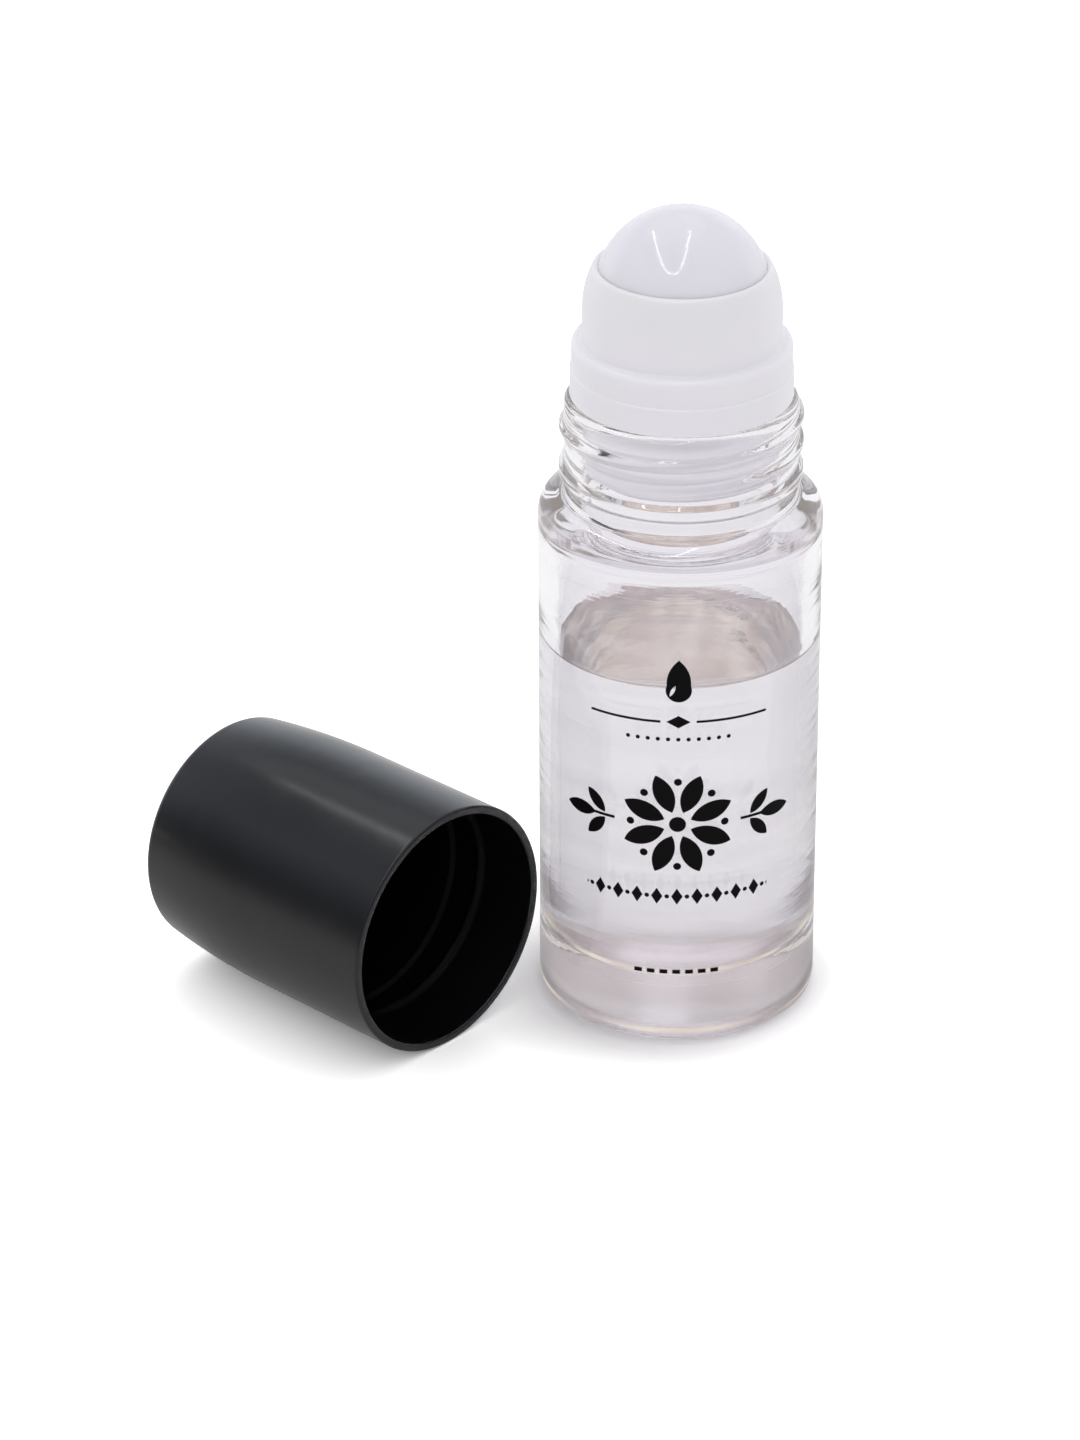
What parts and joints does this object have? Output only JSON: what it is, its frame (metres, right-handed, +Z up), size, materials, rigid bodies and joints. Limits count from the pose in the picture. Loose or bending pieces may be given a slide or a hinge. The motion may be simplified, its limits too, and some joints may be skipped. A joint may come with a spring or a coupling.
{
  "type": "roll-on adhesive bottle",
  "caption": "Clear glass roll-on bottle of liquid skin adhesive, with a translucent ball housing, a clear film label and its black screw cap lying beside it.",
  "frame": {"origin": "on the surface that the set stands on, under the middle of the bounding box of the bottle and its cap", "axes": "+Z up along the bottle's axis; +X along the lying cap, from its closed end to its mouth; the label faces -48.7 degrees from +X, towards -Y"},
  "size_m": [0.0664, 0.0656, 0.1054],
  "materials": {
    "clear_glass": "clear, thick and polished",
    "clear_adhesive": "clear liquid with a faint warm tint",
    "label_film": "clear film with a black print",
    "natural_polypropylene": "translucent milky white, satin",
    "milky_ball": "translucent milky white, polished",
    "black_polypropylene": "black satin"
  },
  "bodies": {
    "bottle": {"glass_bottle": "clear_glass", "adhesive_fill": "clear_adhesive", "label_film": "label_film", "roller_housing": "natural_polypropylene"},
    "ball": {"roller_ball": "milky_ball"},
    "cap": {"screw_cap": "black_polypropylene"}
  },
  "joints": [
    {"name": "ball_roll", "type": "hinge", "parent": "bottle", "child": "ball", "pos_m": [0.01551, 0.01529, 0.0947], "axis": [1, 0, 0], "continuous": true},
    {"name": "cap_lift", "type": "slide", "parent": "bottle", "child": "cap", "axis": [0, 0, 1], "range_m": [0, 0.12]}
  ]
}
